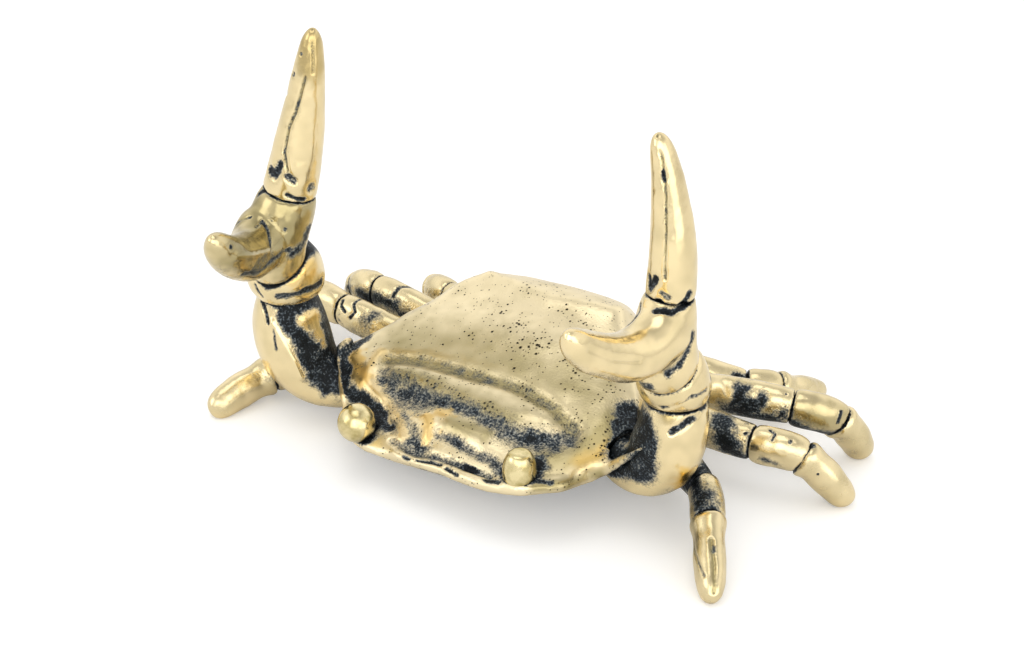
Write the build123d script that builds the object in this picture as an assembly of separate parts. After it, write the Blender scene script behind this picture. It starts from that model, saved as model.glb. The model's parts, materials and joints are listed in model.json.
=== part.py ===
from build123d import *
from collections import namedtuple
import os

# Cast brass crab that stands on eight legs and holds up two open claws as a pen rest.
# Every limb is a chain of castings. Two castings meet on a shared joint plane, where a round peg
# on the outer one sits in a socket of the inner one and is soldered. Nothing moves.
# Left and right are as seen from the front. +X is right, -Y is the way the face looks, +Z is up,
# and the origin lies on the ground in the middle of the whole figure. Sizes are in millimetres.

# Body
body_width = 25.6  # carapace across its side corners
body_length = 21.0  # carapace from the brow to the back edge
body_height = 4.4  # ground to the parting plane, at the middle of the body
body_pitch = 6.0  # degrees that the brow dips
body_roll = 4.0  # degrees that the right side is higher
crown_height = 5.6  # parting plane to the top of the carapace
belly_depth = 2.9  # parting plane to the underside
belly_inset = 1.3  # how far the carapace overhangs the belly
brow_radius = 0.5  # rounded lip along the front edge
brow_rise = 0.3  # middle of the lip above the parting plane

# Fits
solder_gap = 0.05  # between a peg or a root and its socket
limb_gap = 0.15  # between two limbs that pass each other
peg_length = 1.1
peg_root = 0.5  # how far a peg runs into its own casting
root_seat = 1.0  # how deep the root of a leg sits in the belly
root_reach = 5.0  # how far outward a root's seat is cut, clear of the body
body_dowel_radius = 1.3
body_dowel_length = 2.4
body_dowel_spacing = 8.0

# Eyes: round balls that sink a little way into the lip of the brow
Eye = namedtuple("Eye", "radius sink")
eye_left = Eye(radius=1.25, sink=0.2)
eye_right = Eye(radius=1.15, sink=0.3)
eye_spacing = 13.2
eye_back = 0.3  # centre behind the middle of the lip
eye_peg_radius = 0.5
eye_peg_length = 0.35  # below the ball
eye_aim = (0.1, -0.35, 0.93)  # outward, back and up from the lip

# Claws: where the castings of each one meet, as distances outward from the side corner of the
# body, back from its brow and up from the middle of the parting plane, and how far the finger bends
# outward and back on its way up, as a slope
Claw = namedtuple(
    "Claw",
    "neck wrist knuckle finger_tip finger_bend thumb_tip thumb_root_rise"
    " arm_girth wrist_girth finger_girth thumb_girth",
)
claw_left = Claw(
    neck=(3.5, 5.5, 5.9),
    wrist=(3.1, 3.9, 9.4),
    knuckle=(2.2, 4.6, 14.8),
    finger_tip=(0.6, 6.1, 27.2),
    finger_bend=(-0.05, 0.05),
    thumb_tip=(0.8, -6.1, 16.6),
    thumb_root_rise=1.9,
    arm_girth=3.05,
    wrist_girth=2.85,
    finger_girth=2.08,
    thumb_girth=2.3,
)
claw_right = Claw(
    neck=(2.75, 6.0, 6.9),
    wrist=(2.6, 4.7, 10.2),
    knuckle=(2.5, 5.0, 15.4),
    finger_tip=(0.8, 5.7, 26.5),
    finger_bend=(0.18, 0.06),
    thumb_tip=(1.0, -5.7, 17.6),
    thumb_root_rise=2.4,
    arm_girth=2.75,
    wrist_girth=2.5,
    finger_girth=1.8,
    thumb_girth=2.2,
)
claw_root_back = 6.4  # root's centre behind the brow
claw_root_depth = 0.2  # root's centre inside the edge of the carapace
claw_root_rise = 0.2  # root's centre above the parting plane
root_girth = 1.65
neck_girth = 2.1
palm_girth = 2.35
tip_girth = 0.85
claw_peg_radius = 0.8
arm_bow = 1.5  # how far the arm swings out on its way up

# Ways that the claw's castings point where they meet: outward, back and up
root_aim = (1.0, -0.25, -0.2)
neck_aim = (0.0, 0.1, 1.0)
wrist_aim = (0.0, -0.6, 0.8)
thumb_root_aim = (0.0, -1.0, -0.05)
thumb_tip_aim = (0.0, -0.5, 0.87)

# Legs, from the front one to the back one: how far the hip is in front of the body's back edge, and
# where the castings meet, as distances outward from the side corner of the body, back from its back
# edge and up from the ground
Leg = namedtuple("Leg", "hip_ahead knee ankle foot")
legs_left = (
    Leg(hip_ahead=9.6, knee=(3.6, -12.4, 1.9), ankle=(6.0, -14.9, 1.8), foot=(7.9, -20.1)),
    Leg(hip_ahead=7.1, knee=(4.6, -7.2, 4.0), ankle=(7.8, -6.4, 3.8), foot=(11.9, -5.0)),
    Leg(hip_ahead=4.6, knee=(3.6, -3.7, 4.2), ankle=(5.9, -2.8, 3.4), foot=(7.4, -0.8)),
    Leg(hip_ahead=2.2, knee=(-0.8, -0.2, 3.2), ankle=(1.2, 0.9, 2.6), foot=(2.8, 4.0)),
)
legs_right = (
    Leg(hip_ahead=9.6, knee=(4.1, -13.1, 3.4), ankle=(6.0, -15.9, 2.9), foot=(9.0, -20.9)),
    Leg(hip_ahead=7.1, knee=(5.1, -7.4, 4.2), ankle=(8.6, -6.7, 3.8), foot=(11.9, -5.3)),
    Leg(hip_ahead=4.6, knee=(5.9, -2.9, 5.0), ankle=(8.7, -1.1, 3.8), foot=(10.1, 1.1)),
    Leg(hip_ahead=2.2, knee=(0.4, 0.6, 3.0), ankle=(2.3, 1.9, 2.6), foot=(4.1, 6.5)),
)
leg_girth = 1.45  # half the thickness of a thigh
shin_girth = 1.5
foot_girth = 1.0
foot_flat = 0.12  # filed off under each foot, where it stands
leg_flat = 0.8  # front-to-back thickness as a share of the other
hip_drop = 1.2  # hip's centre below the parting plane
leg_peg_radius = 0.55

# Cross-sections of the body from the brow to the back edge: share of its length, shares of half
# its width at the parting plane and at the shoulder edge, shares of the crown's height at the
# shoulder edge and in the middle, and share of the belly's depth
Rib = namedtuple("Rib", "share base edge edge_rise crown_rise belly")
ribs = (
    Rib(0.000, 0.42, 0.44, 0.11, 0.14, 0.0),
    Rib(0.057, 0.58, 0.61, 0.13, 0.27, 0.0),
    Rib(0.152, 0.74, 0.81, 0.16, 0.43, 0.42),
    Rib(0.248, 0.85, 0.945, 0.27, 0.55, 0.7),
    Rib(0.319, 0.87, 1.00, 0.36, 0.61, 0.9),
    Rib(0.438, 0.92, 0.91, 0.48, 0.75, 1.0),
    Rib(0.557, 0.90, 0.76, 0.63, 0.90, 1.0),
    Rib(0.676, 0.83, 0.60, 0.78, 0.97, 1.0),
    Rib(0.771, 0.76, 0.49, 0.88, 0.98, 1.0),
    Rib(0.867, 0.65, 0.43, 0.70, 0.79, 0.9),
    Rib(0.938, 0.53, 0.39, 0.43, 0.50, 0.7),
    Rib(0.981, 0.43, 0.35, 0.22, 0.26, 0.55),
    Rib(1.000, 0.37, 0.31, 0.11, 0.13, 0.5),
)

# Half of each cross-section's curve: share of its width, share of its rise or depth
crown_curve = ((1.0, 0.0), (0.8, 0.42), (0.42, 0.86), (0.0, 1.0))
keel_curve = ((1.0, 0.0), (0.93, 0.55), (0.6, 0.93), (0.0, 1.0))

# Lip along the brow: share of half the body's width, share of its length, share of the lip's radius
brow_run = (
    (-0.78, 0.125, 0.5),
    (-0.64, 0.062, 0.9),
    (-0.45, 0.008, 1.0),
    (-0.22, 0.0, 1.0),
    (0.0, 0.0, 1.0),
    (0.22, 0.0, 1.0),
    (0.45, 0.008, 1.0),
    (0.64, 0.062, 0.9),
    (0.78, 0.125, 0.5),
)

# Swelling along a casting: share of its length, share of its girth; for the arm the share of
# the way from the girth of its ends to its full girth
segment_swell = ((0.0, 0.92), (0.12, 1.0), (0.5, 1.03), (0.88, 1.0), (1.0, 0.92))
band_swell = ((0.0, 0.74), (0.15, 0.93), (0.5, 1.0), (0.85, 0.93), (1.0, 0.78))
arm_swell = ((0.0, 0.0), (0.2, 0.45), (0.45, 0.95), (0.7, 1.0), (0.88, 0.6), (1.0, 0.0))
tip_swell = (
    (0.0, 0.93), (0.16, 1.0), (0.38, 1.06), (0.6, 1.1), (0.78, 1.08),
    (0.89, 0.95), (0.955, 0.7), (0.988, 0.4), (1.0, 0.16),
)
finger_swell = (
    (0.0, 0.93), (0.09, 0.97), (0.18, 1.0), (0.3, 1.03), (0.42, 1.04), (0.54, 1.03), (0.66, 1.0),
    (0.78, 0.96), (0.88, 0.87), (0.95, 0.68), (0.985, 0.42), (1.0, 0.16),
)
thumb_swell = ((0.0, 1.0), (0.3, 1.02), (0.6, 1.06), (0.8, 1.1), (0.92, 0.9), (0.98, 0.5), (1.0, 0.16))

Joint = namedtuple("Joint", "at along girth")


def between(pairs, key):
    """Value that belongs to a key between the keys of a table."""
    for (low_key, low), (high_key, high) in zip(pairs, pairs[1:]):
        if low_key <= key <= high_key:
            return low + (high - low) * (key - low_key) / (high_key - low_key)
    raise ValueError("a root lies off the body")


def hermite(start, end, share, bow):
    """Centre and direction at a share of the smooth curve between two joints."""
    reach = (end.at - start.at).length * bow
    go, stop = start.along * reach, end.along * reach
    s, t = share, 1 - share
    centre = start.at * (t * t * (1 + 2 * s)) + end.at * (s * s * (1 + 2 * t))
    centre += go * (s * t * t) - stop * (s * s * t)
    slope = (end.at - start.at) * (6 * s * t) + go * (t * t - 2 * s * t) + stop * (s * s - 2 * s * t)
    return centre, slope.normalized()


def limb(start, end, swell, across, flat=1.0, bow=1.0, grow=0.0):
    """Casting lofted from one joint to the next, oval where flat isn't 1."""
    ovals = []
    for share, swollen in swell:
        centre, along = hermite(start, end, share, bow)
        girth = (start.girth * (1 - share) + end.girth * share) * swollen
        plane = Plane(centre, x_dir=across - along * across.dot(along), z_dir=along)
        ovals.append(plane * Ellipse(girth * flat + grow, girth + grow))
    return loft(ovals)


def post(joint, radius, length, overlap=0.0):
    """Round post from a joint plane back into the inner piece."""
    plane = Plane(joint.at + joint.along * overlap, z_dir=-joint.along)
    return plane * Cylinder(radius, length + overlap, align=(Align.CENTER, Align.CENTER, Align.MIN))


def with_peg(casting, joint, radius):
    return casting + post(joint, radius, peg_length, overlap=peg_root)


def with_socket(casting, joint, radius):
    return casting - post(joint, radius + solder_gap, peg_length + solder_gap)


def aim(side, way):
    out, back, up = way
    return Vector(side * out, back, up).normalized()


def beside(side, out, back, height):
    """Point at a distance outward from the side corner of the body."""
    return Vector(side * (body_width / 2 + out), back, height)


def body_frame():
    """Plane of the parting face, dipped towards the brow and rolled to one side."""
    return Plane(Vector(0, 0, body_height), x_dir=(1, 0, 0)).rotated((body_pitch, -body_roll, 0))


def upright(share):
    """Plane across the body at a share of its length."""
    frame = body_frame()
    along = frame.y_dir * (body_length * (share - 0.5))
    return Plane(frame.origin + along, x_dir=frame.x_dir, z_dir=-frame.y_dir)


def half_width(back):
    """Half the body's width on the parting plane, at a distance behind its middle."""
    bases = [(rib.share, rib.base) for rib in ribs]
    return body_width / 2 * between(bases, back / body_length + 0.5)


def off_parting(side, out, back, rise):
    """Point over the parting plane at a place seen from above."""
    frame = body_frame()
    across = Vector(side * out, back, 0)
    drop = (across.X * frame.z_dir.X + across.Y * frame.z_dir.Y) / frame.z_dir.Z
    return frame.origin + across + Vector(0, 0, rise - drop)


def carapace_rib(rib):
    """Cross-section of the carapace, upright across the body."""
    base = body_width / 2 * rib.base
    edge = body_width / 2 * rib.edge
    low = crown_height * rib.edge_rise
    rise = crown_height * (rib.crown_rise - rib.edge_rise)
    right = [(edge * width, low + rise * up) for width, up in crown_curve]
    left = [(-x, y) for x, y in right[-2::-1]]
    under = Polyline((-edge, low), (-base, 0), (base, 0), (edge, low))
    return upright(rib.share) * make_face([Spline(*right, *left), under])


def belly_rib(rib):
    """Cross-section of the belly, under the parting plane."""
    half = body_width / 2 * rib.base - belly_inset
    depth = belly_depth * rib.belly
    right = [(half * width, -depth * down) for width, down in keel_curve]
    left = [(-x, y) for x, y in right[-2::-1]]
    return upright(rib.share) * make_face([Spline(*right, *left), Line((-half, 0), (half, 0))])


def brow_point(across, share):
    """Middle of the lip at a share of half the body's width and a share of its length."""
    frame = body_frame()
    sideways = frame.x_dir * (body_width / 2 * across)
    return frame.origin + sideways + frame.y_dir * (body_length * (share - 0.5)) + frame.z_dir * brow_rise


def brow_lip():
    """Rounded lip along the front edge of the carapace."""
    centres = [brow_point(across, share) for across, share, _ in brow_run]
    befores = [centres[0], *centres[:-1]]
    afters = [*centres[1:], centres[-1]]
    rings = []
    for (_, _, fat), before, centre, after in zip(brow_run, befores, centres, afters):
        plane = Plane(centre, x_dir=body_frame().z_dir, z_dir=(after - before).normalized())
        rings.append(plane * Circle(brow_radius * fat))
    return loft(rings)


def eye_joint(side, eye):
    """Centre of an eye, over the lip of the brow."""
    across = side * eye_spacing / body_width
    frame = body_frame()
    seat = brow_point(across, between([(out, share) for out, share, _ in brow_run], across))
    lift = brow_radius + eye.radius - eye.sink
    return Joint(seat + frame.y_dir * eye_back + frame.z_dir * lift, aim(side, eye_aim), eye.radius)


def eye_space(eye, grow):
    """Ball and peg of an eye, grown for the hollow that it sits in."""
    peg = post(eye, eye_peg_radius + grow, eye.girth + eye_peg_length + grow)
    return Pos(eye.at) * Sphere(eye.girth + grow) + peg


def root_pocket(joint, flat, peg_radius, across):
    """What a limb's root takes out of the body: its oval seat and its peg's socket."""
    plane = Plane(joint.at, x_dir=across - joint.along * across.dot(joint.along), z_dir=joint.along)
    oval = plane * Ellipse(joint.girth * flat + solder_gap, joint.girth + solder_gap)
    seat = extrude(oval, amount=root_reach)
    return seat + post(joint, peg_radius + solder_gap, peg_length + solder_gap)


def leg_joints(leg, side):
    """Hip, knee, ankle and foot; each faces along the bend between its neighbours."""
    hip_back = body_length / 2 - leg.hip_ahead
    hip_out = half_width(hip_back) - belly_inset - root_seat
    points = [off_parting(side, hip_out, hip_back, -hip_drop)]
    for out, back, height in (leg.knee, leg.ankle, (*leg.foot, 0)):
        points.append(beside(side, out, body_length / 2 + back, height))
    girths = (leg_girth, leg_girth, shin_girth, foot_girth)
    runs = [(b - a).normalized() for a, b in zip(points, points[1:])]
    level = Vector(runs[0].X, runs[0].Y, 0).normalized()
    alongs = [level, (runs[0] + runs[1]).normalized(), (runs[1] + runs[2]).normalized(), runs[2]]
    return [Joint(*joint) for joint in zip(points, alongs, girths)]


def leg_castings(leg, side, clear_of):
    """Thigh, shin and foot of one leg, and the space its hip takes up."""
    hip, knee, ankle, foot = leg_joints(leg, side)
    across = Vector(-hip.along.Y, hip.along.X, 0)
    thigh = limb(hip, knee, segment_swell, across, leg_flat)
    shin = limb(knee, ankle, segment_swell, across, leg_flat)
    lowest = limb(ankle, foot, tip_swell, across, leg_flat).bounding_box().min.Z
    foot = foot._replace(at=foot.at - Vector(0, 0, lowest + foot_flat))
    toe = split(limb(ankle, foot, tip_swell, across, leg_flat), Plane.XY, keep=Keep.TOP)
    castings = {
        "thigh": with_socket(with_peg(thigh, hip, leg_peg_radius), knee, leg_peg_radius) - clear_of,
        "shin": with_socket(with_peg(shin, knee, leg_peg_radius), ankle, leg_peg_radius) - clear_of,
        "foot": with_peg(toe, ankle, leg_peg_radius) - clear_of,
    }
    thigh_space = limb(hip, knee, segment_swell, across, leg_flat, grow=solder_gap)
    return castings, root_pocket(hip, leg_flat, leg_peg_radius, across) + thigh_space


def claw_castings(claw, side):
    """Arm, wrist, palm with its thumb, and finger of one claw, and the space of its arm and root."""

    def raised(point):
        out, back, rise = point
        return beside(side, out, back - body_length / 2, body_height + rise)

    root_back = claw_root_back - body_length / 2
    root_out = half_width(root_back) - claw_root_depth
    root_at = off_parting(side, root_out, root_back, claw_root_rise)
    root = Joint(root_at, aim(side, root_aim), root_girth)
    neck = Joint(raised(claw.neck), aim(side, neck_aim), neck_girth)
    wrist = Joint(raised(claw.wrist), aim(side, wrist_aim), palm_girth)
    knuckle_at, tip_at = raised(claw.knuckle), raised(claw.finger_tip)
    reach = (tip_at - knuckle_at).normalized()
    bend_out, bend_back = claw.finger_bend
    bend = Vector(side * bend_out, bend_back, 0)
    knuckle = Joint(knuckle_at, (reach + bend).normalized(), claw.finger_girth)
    tip = Joint(tip_at, (reach - bend).normalized(), tip_girth)
    across = Vector(0, 1, 0)

    full = claw.arm_girth / neck_girth - 1
    swell = [(share, 1 + full * swollen) for share, swollen in arm_swell]
    arm = limb(root, neck, swell, across, bow=arm_bow)
    arm_space = limb(root, neck, swell, across, bow=arm_bow, grow=limb_gap)
    arm_space += root_pocket(root, 1.0, claw_peg_radius, across)
    arm = with_socket(with_peg(arm, root, claw_peg_radius), neck, claw_peg_radius)

    band_start = Joint(neck.at, neck.along, claw.wrist_girth)
    band_end = Joint(wrist.at, wrist.along, claw.wrist_girth)
    band = limb(band_start, band_end, band_swell, across)
    band_space = limb(band_start, band_end, band_swell, across, grow=solder_gap)
    band = with_socket(with_peg(band, neck, claw_peg_radius), wrist, claw_peg_radius)

    thumb_at = wrist.at + Vector(0, 0, claw.thumb_root_rise)
    thumb_root = Joint(thumb_at, aim(side, thumb_root_aim), claw.thumb_girth)
    thumb_tip = Joint(raised(claw.thumb_tip), aim(side, thumb_tip_aim), tip_girth)
    palm = limb(wrist, knuckle, segment_swell, across)
    palm += limb(thumb_root, thumb_tip, thumb_swell, Vector(1, 0, 0))
    palm = palm - band_space - limb(knuckle, tip, finger_swell, across, grow=solder_gap)
    palm = with_socket(with_peg(palm, wrist, claw_peg_radius), knuckle, claw_peg_radius)

    finger = with_peg(limb(knuckle, tip, finger_swell, across), knuckle, claw_peg_radius)
    return {"arm": arm, "wrist": band, "palm": palm, "finger": finger}, arm_space


def build():
    pieces = {}
    carapace = loft([carapace_rib(rib) for rib in ribs]) + brow_lip()
    belly = loft([belly_rib(rib) for rib in ribs if rib.belly])
    frame = body_frame()
    for back in (-body_dowel_spacing / 2, body_dowel_spacing / 2):
        dowel = Joint(frame.origin + frame.y_dir * back, -frame.z_dir, body_dowel_radius)
        belly += post(dowel, body_dowel_radius, body_dowel_length, overlap=peg_root)
        carapace -= post(dowel, body_dowel_radius + solder_gap, body_dowel_length + solder_gap)

    sides = (
        (-1, "left", claw_left, legs_left, eye_left),
        (1, "right", claw_right, legs_right, eye_right),
    )
    for side, name, claw, legs, eye in sides:
        castings, arm_space = claw_castings(claw, side)
        for part_name, casting in castings.items():
            pieces[f"{name}_claw_{part_name}"] = casting
        belly -= arm_space
        carapace -= arm_space
        for number, leg in enumerate(legs, 1):
            castings, hip_space = leg_castings(leg, side, arm_space)
            for part_name, casting in castings.items():
                pieces[f"{name}_leg_{number}_{part_name}"] = casting
            belly -= hip_space
            carapace -= hip_space
        pieces[f"{name}_eye"] = eye_space(eye_joint(side, eye), 0.0)
        carapace -= eye_space(eye_joint(side, eye), solder_gap)

    pieces["carapace"] = carapace
    pieces["belly_plate"] = belly
    return pieces


figure = build()
middle = Compound(list(figure.values())).bounding_box().center()
os.makedirs("parts", exist_ok=True)
for node, piece in figure.items():
    export_step(Pos(-middle.X, -middle.Y, 0) * piece, f"parts/{node}.step")
    print(node, len(piece.solids()), round(piece.volume, 1))
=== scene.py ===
import json
import math

import bpy
import numpy as np
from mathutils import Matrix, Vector, noise
from mathutils.bvhtree import BVHTree

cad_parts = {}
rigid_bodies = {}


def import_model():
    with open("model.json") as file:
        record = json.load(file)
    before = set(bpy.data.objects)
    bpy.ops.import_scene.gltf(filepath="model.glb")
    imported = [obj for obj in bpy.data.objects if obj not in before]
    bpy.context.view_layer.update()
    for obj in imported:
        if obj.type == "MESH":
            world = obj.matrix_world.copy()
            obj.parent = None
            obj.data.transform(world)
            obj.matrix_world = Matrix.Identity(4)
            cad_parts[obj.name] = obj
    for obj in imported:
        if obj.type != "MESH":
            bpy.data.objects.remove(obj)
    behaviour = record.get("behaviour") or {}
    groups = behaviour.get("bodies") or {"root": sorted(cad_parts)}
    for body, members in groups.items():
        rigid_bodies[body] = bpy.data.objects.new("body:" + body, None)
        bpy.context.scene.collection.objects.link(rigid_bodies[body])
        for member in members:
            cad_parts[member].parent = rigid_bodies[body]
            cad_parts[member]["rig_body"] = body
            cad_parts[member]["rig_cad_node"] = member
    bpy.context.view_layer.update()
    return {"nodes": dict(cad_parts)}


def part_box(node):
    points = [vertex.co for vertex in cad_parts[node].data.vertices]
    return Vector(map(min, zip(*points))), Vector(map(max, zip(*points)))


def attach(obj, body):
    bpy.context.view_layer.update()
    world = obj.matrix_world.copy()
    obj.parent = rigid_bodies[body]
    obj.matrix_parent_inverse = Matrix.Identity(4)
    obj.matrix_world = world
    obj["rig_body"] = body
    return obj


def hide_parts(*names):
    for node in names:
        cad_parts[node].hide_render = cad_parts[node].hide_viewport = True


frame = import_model()
mm = 0.001  # everything below is metres, so sizes are written as so many mm


# Camera, as the photograph was taken
shot = {
    "lookAt": (0.0024, -0.0044, 0.012),
    "turn": 31.5,  # degrees round from the front, towards the right
    "height": 31.4,  # degrees above the ground
    "distance": 0.170,
    "lens": 85.94,
    "sensor": 36.0,
    "nearest": 0.01,
    "picture": (1024, 670),  # pixels across and down
}


def shotAxes():
    turn = math.radians(shot["turn"])
    height = math.radians(shot["height"])
    level = math.cos(height)
    back = Vector((math.sin(turn) * level, -math.cos(turn) * level, math.sin(height)))
    right = Vector((math.cos(turn), math.sin(turn), 0))
    return right, back.cross(right), back


rightAxis, upAxis, backAxis = shotAxes()
cameraAt = Vector(shot["lookAt"]) + backAxis * shot["distance"]


def addCamera():
    bpy.ops.object.camera_add(location=cameraAt)
    camera = bpy.context.active_object
    camera.name = "photoCamera"
    camera.rotation_euler = backAxis.to_track_quat("Z", "Y").to_euler()
    camera.data.lens = shot["lens"]
    camera.data.sensor_width = shot["sensor"]
    camera.data.clip_start = shot["nearest"]
    bpy.context.scene.camera = camera
    print("camera at", [round(x / mm, 1) for x in cameraAt])


# Coats that each piece carries as point attributes, for its material to read. The olive coat is tarnish film
# and also painted shade and dark reflection, where marks lay it on
coatNames = ("patina", "tarnishAndShade", "gilt", "pitting", "satinAndSheen")


# Materials
def linear(hexColour):
    channels = [int(hexColour[i:i + 2], 16) / 255 for i in (1, 3, 5)]
    return [c / 12.92 if c <= 0.04045 else ((c + 0.055) / 1.055) ** 2.4 for c in channels] + [1.0]


def addNode(tree, kind, inputs, **settings):
    node = tree.nodes.new("ShaderNode" + kind)
    for name, value in settings.items():
        setattr(node, name, value)
    for name, value in inputs.items():
        if isinstance(value, bpy.types.NodeSocket):
            tree.links.new(value, node.inputs[name])
        else:
            node.inputs[name].default_value = value
    return node


# Cast brass, blackened in a sulphur bath and rubbed back: glossy on the limbs and satin on the shell, with a
# blue-black grainy crust left in hollows and seams, and casting pits. The shell's paler colour is a painted
# sheen, and part of the olive tint is painted shade and dark reflection
antique = {
    "brass": "#F0DCAC",
    # paler colour of satin metal: a painted sheen
    "satinBrassSheen": "#F3E3BC",
    "tarnishAndShade": "#A6996E",  # thin olive film, and painted shade and dark reflection where marks lay it on
    "gilt": "#E3B753",  # fresh warm metal, where the crust was scraped
    "crust": "#414C56",
    "crustDust": "#7C878E",  # tops of the crust's grains
    "soot": "#0C1114",  # thick crust
    "pit": "#2E2A1F",
    # roughness, and the metal that shows through thin and thick crust
    "shine": 0.21,
    "satinShine": 0.36,
    "crustShine": 0.4,
    "shineSpread": 0.2,
    "crustGloss": 0.2,
    "thinCrustMetal": 0.55,
    "sootMetal": 0.2,
    # sizes of the patterns in mm
    "crustBlotch": 0.8,
    "crustGrain": 0.15,
    "castWave": 1.6,
    # where patina turns to crust, crust to soot, grains to dust, and the olive coat of tarnish and painted
    # shade turns to olive tint
    "speckleLevel": 0.95,
    "speckleGrain": 0.9,
    "bareBelow": 0.25,
    "crustRange": (0.1, 0.85),
    "sootRange": (0.6, 1.0),
    "dustRange": (0.5, 0.3),
    "tintWave": 0.7,
    "tintRange": (0.28, 1.2),
    "pits": ((0.4, 0.4), (0.25, 0.5)),  # mm apart, and the largest one's share of that
    "pitCrowd": (2.4, -0.4),  # gain and offset of the wave that crowds them
    "pitlessCells": 0.2,
    "pitFloor": 0.5,
    "smallestPit": 0.06,
    # bump in mm, and heights as shares of it
    "bumpHeight": 0.1,
    "bumpStrength": 0.8,
    "satinGrain": 0.3,
    "waveRise": 0.5,
    "pitDrop": -0.6,
}


# Thin crust breaks up into blotches and grains, and bare metal stays free of them
def crustCover(tree, patina, blotch, grain):
    speckle = addNode(tree, "Math", {0: blotch, 1: antique["speckleLevel"]},
                      operation="SUBTRACT").outputs[0]
    speckle = addNode(tree, "Math", {0: grain, 1: antique["speckleGrain"], 2: speckle},
                      operation="MULTIPLY_ADD").outputs[0]
    some = addNode(tree, "MapRange", {"Value": patina, "From Max": antique["bareBelow"]}).outputs["Result"]
    spread = addNode(tree, "Math", {0: speckle, 1: some, 2: patina}, operation="MULTIPLY_ADD").outputs[0]
    start, full = antique["crustRange"]
    crust = addNode(tree, "MapRange", {"Value": spread, "From Min": start, "From Max": full},
                    interpolation_type="SMOOTHSTEP").outputs["Result"]
    start, full = antique["sootRange"]
    thick = addNode(tree, "MapRange", {"Value": spread, "From Min": start, "From Max": full})
    return crust, thick.outputs["Result"]


# One pit for each cell, of its own size, and none where the cell's number is low
def castingPits(tree, inMm, pitting, wave):
    gain, offset = antique["pitCrowd"]
    crowded = addNode(tree, "Math", {0: wave, 1: gain, 2: offset}, operation="MULTIPLY_ADD").outputs[0]
    pitting = addNode(tree, "Math", {0: crowded, 1: pitting}, operation="MULTIPLY").outputs[0]
    holes = []
    for apart, largest in antique["pits"]:
        cells = addNode(tree, "TexVoronoi", {"Vector": inMm, "Scale": 1 / apart})
        draw = addNode(tree, "SeparateColor", {"Color": cells.outputs["Color"]}).outputs["Red"]
        size = addNode(tree, "MapRange", {"Value": draw, "From Min": antique["pitlessCells"],
                                          "To Max": largest}).outputs["Result"]
        size = addNode(tree, "Math", {0: size, 1: pitting}, operation="MULTIPLY").outputs[0]
        inner = addNode(tree, "Math", {0: size, 1: antique["pitFloor"]}, operation="MULTIPLY").outputs[0]
        hole = addNode(tree, "MapRange", {"Value": cells.outputs["Distance"], "From Min": inner,
                                          "From Max": size, "To Min": 1.0, "To Max": 0.0},
                       interpolation_type="SMOOTHSTEP").outputs["Result"]
        isOpen = addNode(tree, "Math", {0: size, 1: antique["smallestPit"]}, operation="GREATER_THAN")
        hole = addNode(tree, "Math", {0: hole, 1: isOpen.outputs[0]}, operation="MULTIPLY").outputs[0]
        holes.append(hole)
    pit = holes[0]
    for hole in holes[1:]:
        pit = addNode(tree, "Math", {0: hole, 1: pit}, operation="MAXIMUM").outputs[0]
    return pit


def antiqueColour(tree, coat, pit, crust, thick, grain, wave):
    # olive tint: tarnish film that waves at random, plus the painted shade and dark reflection that marks lay
    # on
    oliveTint = addNode(tree, "Math", {0: wave, 1: antique["tintWave"], 2: coat["tarnishAndShade"]},
                   operation="MULTIPLY_ADD").outputs[0]
    start, full = antique["tintRange"]
    oliveTint = addNode(tree, "MapRange", {"Value": oliveTint, "From Min": start, "From Max": full}).outputs["Result"]
    start, full = antique["dustRange"]
    dust = addNode(tree, "MapRange", {"Value": grain, "From Min": start, "From Max": full}).outputs["Result"]
    # the satin coat lays the paler colour of painted sheen; the olive coat lays tarnish with painted shade
    metalLayers = ((coat["satinAndSheen"], "satinBrassSheen"), (oliveTint, "tarnishAndShade"), (coat["gilt"], "gilt"), (pit, "pit"))
    crustLayers = ((dust, "crustDust"), (thick, "soot"))
    mixed = []
    for base, layers in (("brass", metalLayers), ("crust", crustLayers)):
        colour = linear(antique[base])
        for amount, over in layers:
            colour = addNode(tree, "Mix", {0: amount, 6: colour, 7: linear(antique[over])},
                             data_type="RGBA").outputs[2]
        mixed.append(colour)
    return addNode(tree, "Mix", {0: crust, 6: mixed[0], 7: mixed[1]}, data_type="RGBA").outputs[2]


def antiqueRoughness(tree, satinAndSheen, crust, blotch):
    spread = antique["shineSpread"]
    rough = addNode(tree, "Mix", {0: satinAndSheen, 2: antique["shine"], 3: antique["satinShine"]}).outputs[0]
    rough = addNode(tree, "Math", {0: blotch, 1: spread, 2: rough}, operation="MULTIPLY_ADD").outputs[0]
    rough = addNode(tree, "Math", {0: rough, 1: spread / 2}, operation="SUBTRACT").outputs[0]
    return addNode(tree, "Mix", {0: crust, 2: rough, 3: antique["crustShine"]}).outputs[0]


# Grains stand up in the crust and a little on satin metal, pits go down, and all of it waves
def antiqueBump(tree, satinAndSheen, pit, crust, grain, wave):
    rise = addNode(tree, "Math", {0: satinAndSheen, 1: antique["satinGrain"], 2: crust},
                   operation="MULTIPLY_ADD").outputs[0]
    height = addNode(tree, "Math", {0: grain, 1: rise}, operation="MULTIPLY").outputs[0]
    for layer, share in ((wave, "waveRise"), (pit, "pitDrop")):
        height = addNode(tree, "Math", {0: layer, 1: antique[share], 2: height},
                         operation="MULTIPLY_ADD").outputs[0]
    bump = addNode(tree, "Bump", {"Height": height, "Strength": antique["bumpStrength"],
                                  "Distance": antique["bumpHeight"] * mm})
    return bump.outputs["Normal"]


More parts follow.
